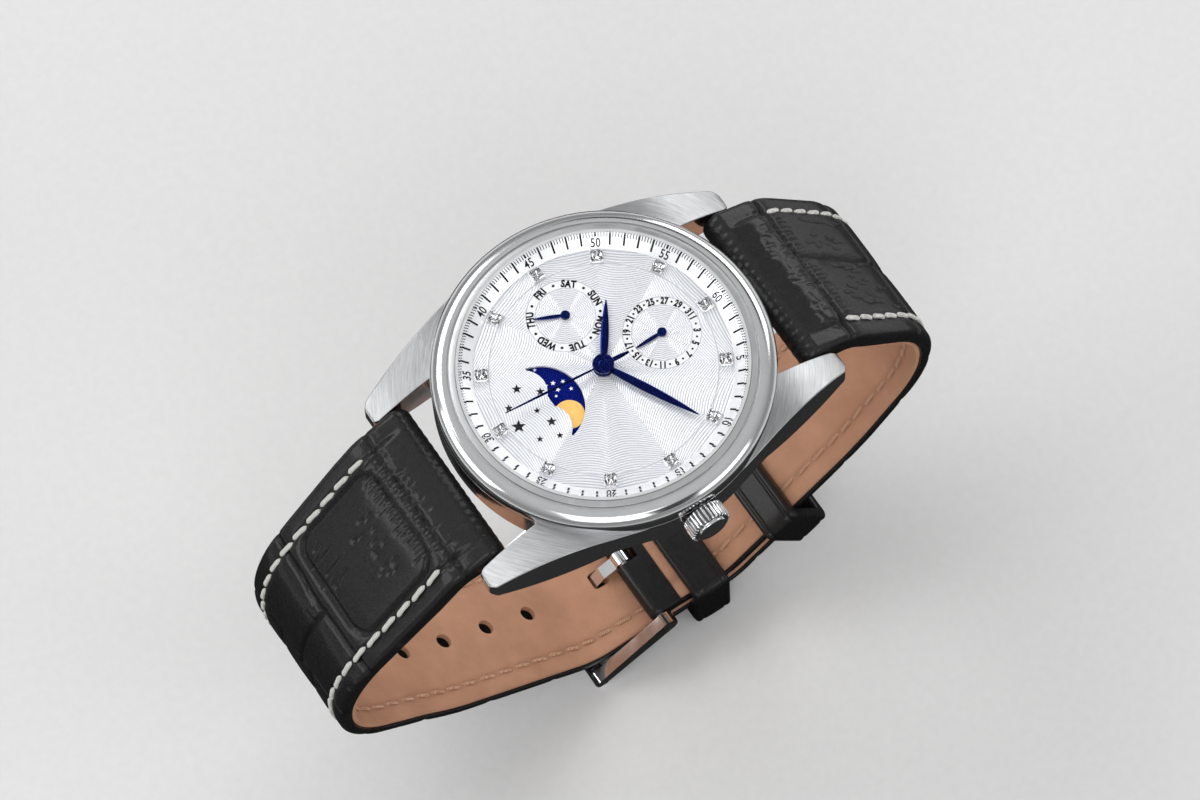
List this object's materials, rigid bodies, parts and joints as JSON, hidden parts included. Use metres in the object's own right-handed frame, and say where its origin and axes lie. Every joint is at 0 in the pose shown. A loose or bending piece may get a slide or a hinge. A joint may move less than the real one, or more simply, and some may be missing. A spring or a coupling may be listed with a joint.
{
  "type": "moon phase wristwatch",
  "caption": "Round steel dress watch with moon phase window, day and date sub-dials, blued hands, stones at the hours and a buckled black leather strap lined in tan.",
  "frame": {"origin": "middle of the case back's outer face", "axes": "+Z leaves the dial, +Y points to 12 o'clock, +X to 3 o'clock and the crown; the strap's loop hangs below in the YZ plane"},
  "size_m": [0.0426, 0.0841, 0.0668],
  "materials": {
    "steel_polished": "polished steel",
    "steel_brushed": "brushed and polished steel",
    "crystal_glass": "clear, domed",
    "gasket_rubber": "matt",
    "dial_silver": "silver white with an engine-turned pattern",
    "stone_clear": "cut clear stone",
    "hand_blue": "blued, glossy",
    "moon_blue": "deep blue with gold moons and small stars",
    "holder_plastic": "plain white plastic",
    "plate_brass": "plated, satin",
    "wheel_brass": "gilt",
    "steel_plain": "plain steel",
    "board_green": "circuit board",
    "coil_copper": "lacquered copper wire",
    "battery_steel": "bright",
    "strap_leather": "black, embossed in large scales",
    "strap_lining": "tan, smooth"
  },
  "bodies": {
    "case": {"case_middle": "steel_brushed", "bezel": "steel_polished", "crystal": "crystal_glass", "crystal_gasket": "gasket_rubber", "case_back": "steel_brushed", "case_back_gasket": "gasket_rubber", "dial": "dial_silver", "chapter_ring": "dial_silver", "stone_settings": "steel_polished", "hour_stones": "stone_clear", "movement_holder": "holder_plastic", "main_plate": "plate_brass", "calendar_plate": "steel_plain", "train_bridge": "plate_brass", "bridge_screws": "steel_plain", "circuit_board": "board_green", "battery": "battery_steel", "battery_clamp": "steel_plain", "drive_coil": "coil_copper", "stator": "steel_plain", "quartz_can": "battery_steel", "calendar_jumpers": "steel_plain", "crown_tube": "steel_plain", "spring_bar_barrels": "steel_plain", "spring_bar_springs": "steel_plain", "strap_12_leather": "strap_leather", "strap_12_lining": "strap_lining", "strap_6_leather": "strap_leather", "strap_6_lining": "strap_lining", "fixed_keeper": "strap_leather", "buckle_frame": "steel_polished", "buckle_bar": "steel_plain"},
    "setting_slide": {"setting_slide": "steel_plain"},
    "crown": {"crown": "steel_polished", "stem": "steel_plain", "crown_gasket": "gasket_rubber"},
    "seconds": {"seconds_wheel": "wheel_brass", "seconds_hand": "hand_blue"},
    "rotor": {"rotor": "steel_plain"},
    "intermediate_wheel": {"intermediate_wheel": "wheel_brass"},
    "third_wheel": {"third_wheel": "wheel_brass"},
    "centre_wheel": {"centre_wheel": "wheel_brass"},
    "minute": {"cannon_pinion": "steel_plain", "minute_hand": "hand_blue"},
    "minute_wheel": {"minute_wheel": "wheel_brass"},
    "hour": {"hour_wheel": "wheel_brass", "hour_hand": "hand_blue"},
    "calendar_driver": {"calendar_driving_wheel": "wheel_brass"},
    "moon_driver": {"moon_driving_wheel": "wheel_brass"},
    "day": {"day_wheel": "wheel_brass", "day_hand": "hand_blue"},
    "date": {"date_wheel": "wheel_brass", "date_hand": "hand_blue"},
    "moon": {"moon_disc": "moon_blue"},
    "pin_12_right": {"spring_bar_pin_12_right": "steel_plain"},
    "pin_12_left": {"spring_bar_pin_12_left": "steel_plain"},
    "pin_6_right": {"spring_bar_pin_6_right": "steel_plain"},
    "pin_6_left": {"spring_bar_pin_6_left": "steel_plain"},
    "sliding_keeper": {"sliding_keeper": "strap_leather"},
    "buckle_tongue": {"buckle_tongue": "steel_polished"}
  },
  "joints": [
    {"name": "crown_pull", "type": "slide", "parent": "case", "child": "setting_slide", "axis": [1, 0, 0], "range_m": [0, 0.0015]},
    {"name": "crown_turn", "type": "hinge", "parent": "setting_slide", "child": "crown", "pos_m": [0.021, 0, 0.0041], "axis": [1, 0, 0], "continuous": true},
    {"name": "seconds_turn", "type": "hinge", "parent": "case", "child": "seconds", "pos_m": [0, 0, 0.007], "axis": [0, 0, 1], "continuous": true},
    {"name": "rotor_turn", "type": "hinge", "parent": "case", "child": "rotor", "pos_m": [-0.00468, -0.00153, 0.004], "axis": [0, 0, 1], "continuous": true},
    {"name": "intermediate_turn", "type": "hinge", "parent": "case", "child": "intermediate_wheel", "pos_m": [-0.00315, 0, 0.003], "axis": [0, 0, 1], "continuous": true},
    {"name": "third_turn", "type": "hinge", "parent": "case", "child": "third_wheel", "pos_m": [0.0015, 0.0026, 0.003], "axis": [0, 0, 1], "continuous": true},
    {"name": "centre_turn", "type": "hinge", "parent": "case", "child": "centre_wheel", "pos_m": [0, 0, 0.004], "axis": [0, 0, 1], "continuous": true},
    {"name": "minute_turn", "type": "hinge", "parent": "case", "child": "minute", "pos_m": [0, 0, 0.007], "axis": [0, 0, 1], "continuous": true},
    {"name": "minute_wheel_turn", "type": "hinge", "parent": "case", "child": "minute_wheel", "pos_m": [0.0026, 0, 0.0055], "axis": [0, 0, 1], "continuous": true},
    {"name": "hour_turn", "type": "hinge", "parent": "case", "child": "hour", "pos_m": [0, 0, 0.007], "axis": [0, 0, 1], "continuous": true},
    {"name": "calendar_driver_turn", "type": "hinge", "parent": "case", "child": "calendar_driver", "pos_m": [-0.00441, 0.00441, 0.0057], "axis": [0, 0, 1], "continuous": true},
    {"name": "moon_driver_turn", "type": "hinge", "parent": "case", "child": "moon_driver", "pos_m": [-0.00441, -0.00441, 0.0057], "axis": [0, 0, 1], "continuous": true},
    {"name": "day_turn", "type": "hinge", "parent": "case", "child": "day", "pos_m": [-0.008, 0, 0.007], "axis": [0, 0, 1], "continuous": true},
    {"name": "date_turn", "type": "hinge", "parent": "case", "child": "date", "pos_m": [0, 0.008, 0.007], "axis": [0, 0, 1], "continuous": true},
    {"name": "moon_turn", "type": "hinge", "parent": "case", "child": "moon", "pos_m": [0, -0.0087, 0.0064], "axis": [0, 0, 1], "continuous": true},
    {"name": "pin_12_right_press", "type": "slide", "parent": "case", "child": "pin_12_right", "axis": [-1, 0, 0], "range_m": [0, 0.0009], "stiffness_N_per_m": 600, "springref_m": -0.001},
    {"name": "pin_12_left_press", "type": "slide", "parent": "case", "child": "pin_12_left", "axis": [1, 0, 0], "range_m": [0, 0.0009], "stiffness_N_per_m": 600, "springref_m": -0.001},
    {"name": "pin_6_right_press", "type": "slide", "parent": "case", "child": "pin_6_right", "axis": [-1, 0, 0], "range_m": [0, 0.0009], "stiffness_N_per_m": 600, "springref_m": -0.001},
    {"name": "pin_6_left_press", "type": "slide", "parent": "case", "child": "pin_6_left", "axis": [1, 0, 0], "range_m": [0, 0.0009], "stiffness_N_per_m": 600, "springref_m": -0.001},
    {"name": "sliding_keeper_slide", "type": "slide", "parent": "case", "child": "sliding_keeper", "axis": [0, 0.8072, 0.5902], "range_m": [-0.002, 0.0025]},
    {"name": "buckle_tongue_lift", "type": "hinge", "parent": "case", "child": "buckle_tongue", "pos_m": [0, 0.0003, -0.0513], "axis": [1, 0, 0], "range_deg": [0, 2.5]}
  ],
  "couplings": [
    {"joint": "intermediate_turn", "follows": "seconds_turn", "ratio": -6},
    {"joint": "rotor_turn", "follows": "seconds_turn", "ratio": 30},
    {"joint": "third_turn", "follows": "seconds_turn", "ratio": -0.13333},
    {"joint": "centre_turn", "follows": "seconds_turn", "ratio": 0.016667},
    {"joint": "minute_wheel_turn", "follows": "minute_turn", "ratio": -0.33333},
    {"joint": "hour_turn", "follows": "minute_turn", "ratio": 0.083333},
    {"joint": "calendar_driver_turn", "follows": "minute_turn", "ratio": -0.041667},
    {"joint": "moon_driver_turn", "follows": "minute_turn", "ratio": -0.041667}
  ]
}
